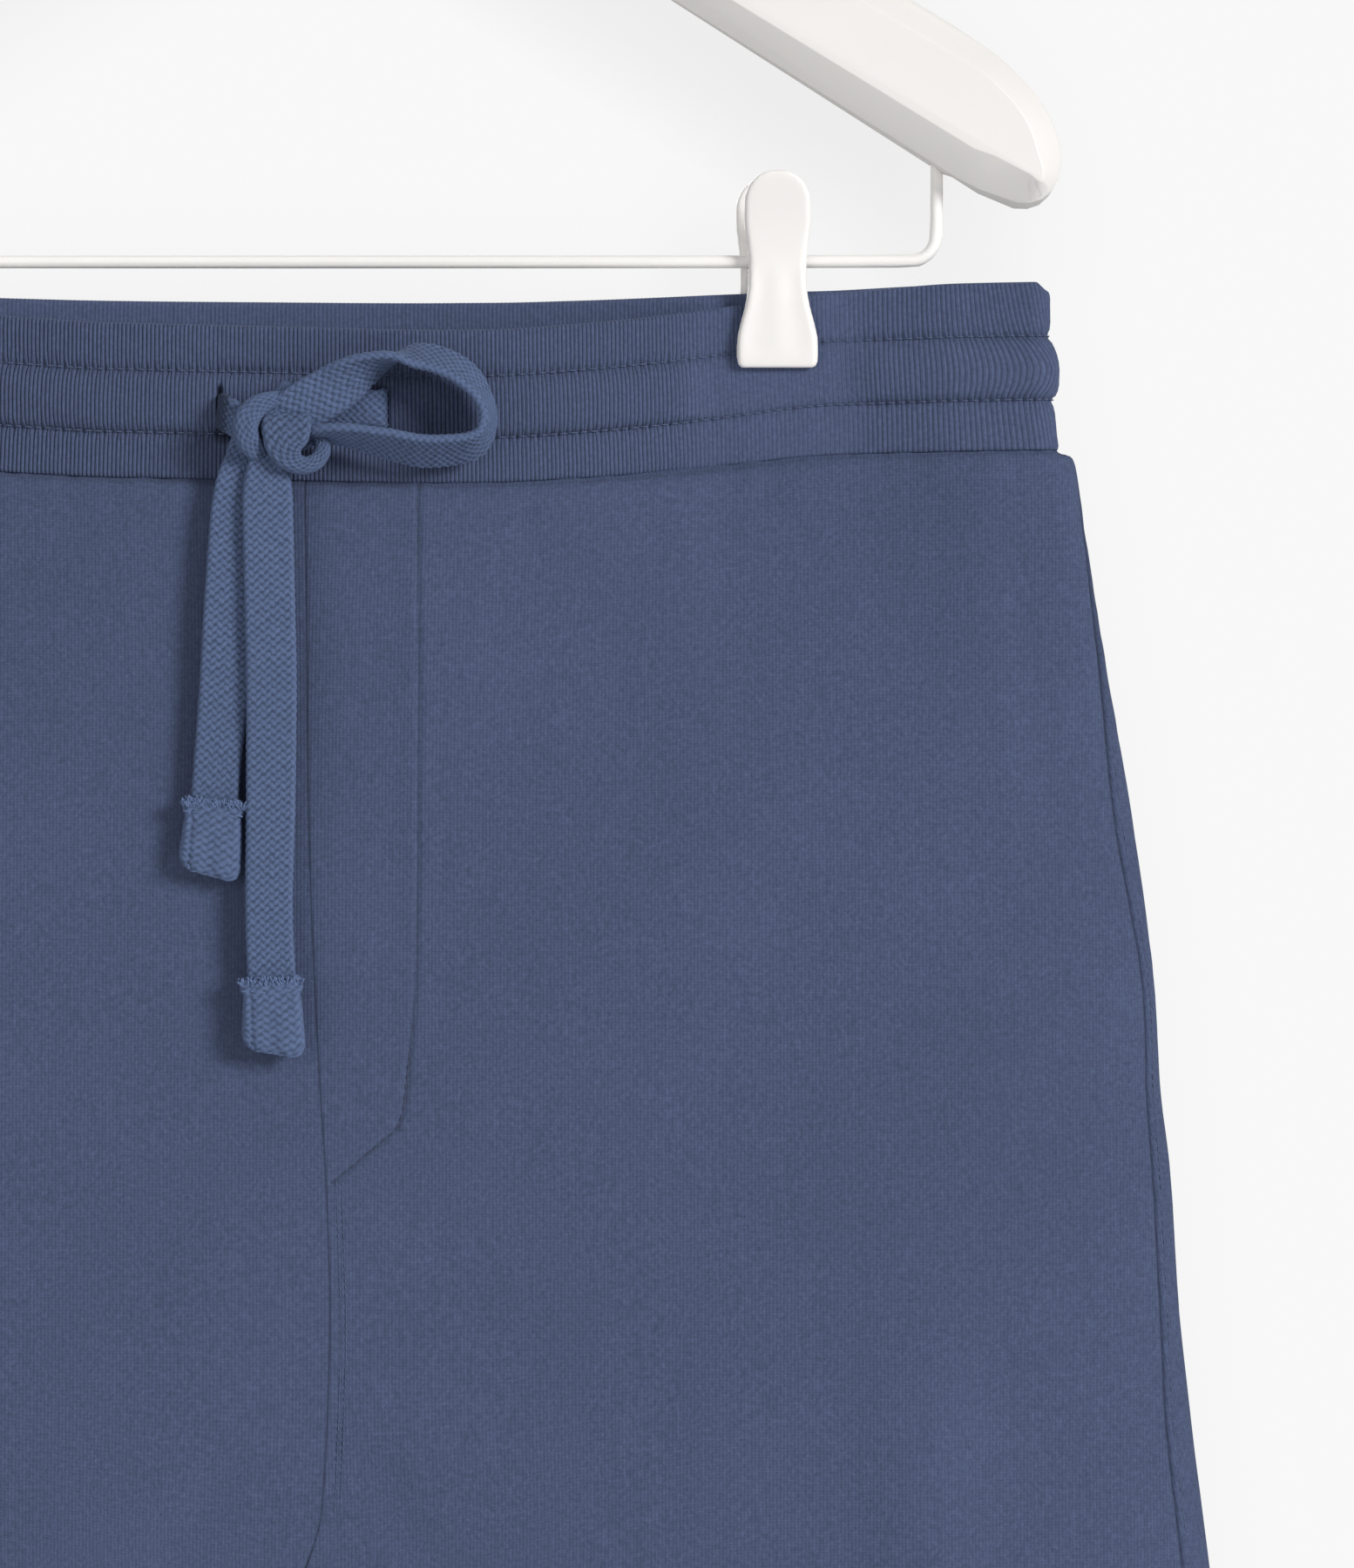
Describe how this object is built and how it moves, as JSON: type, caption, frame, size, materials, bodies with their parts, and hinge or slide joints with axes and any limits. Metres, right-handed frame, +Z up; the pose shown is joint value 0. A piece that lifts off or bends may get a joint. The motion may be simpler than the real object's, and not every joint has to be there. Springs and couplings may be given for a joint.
{
  "type": "sweat bermuda shorts on a clip hanger",
  "caption": "Knee-length fleece shorts with a ribbed drawstring waistband, hung flat from the clips of a moulded hanger.",
  "frame": {"origin": "inner top of the hanger's hook, where the rail carries it", "axes": "+Z up, the front of the shorts faces -Y, the wearer's left is +X"},
  "size_m": [0.5088, 0.0675, 0.7788],
  "materials": {
    "fleece": "brushed-back cotton jersey, dusty blue, matt",
    "rib": "fine cotton rib, dusty blue, matt",
    "braid": "flat cotton braid, lighter blue, matt",
    "white_plastic": "moulded, warm white, satin",
    "coated_wire": "white coated steel wire",
    "spring_steel": "bright spring strip"
  },
  "bodies": {
    "root": {"back_left": "fleece", "back_right": "fleece", "clip_left_back": "white_plastic", "clip_left_front": "white_plastic", "clip_left_spring": "spring_steel", "clip_right_back": "white_plastic", "clip_right_front": "white_plastic", "clip_right_spring": "spring_steel", "drawstring_end_left": "braid", "drawstring_end_right": "braid", "drawstring_knot": "braid", "drawstring_lead_left": "braid", "drawstring_lead_right": "braid", "drawstring_loop": "braid", "drawstring_tail_left": "braid", "drawstring_tail_right": "braid", "front_left": "fleece", "front_right": "fleece", "hanger_arms": "white_plastic", "hanger_bar": "coated_wire", "hanger_hook": "coated_wire", "waistband": "rib"}
  },
  "joints": []
}
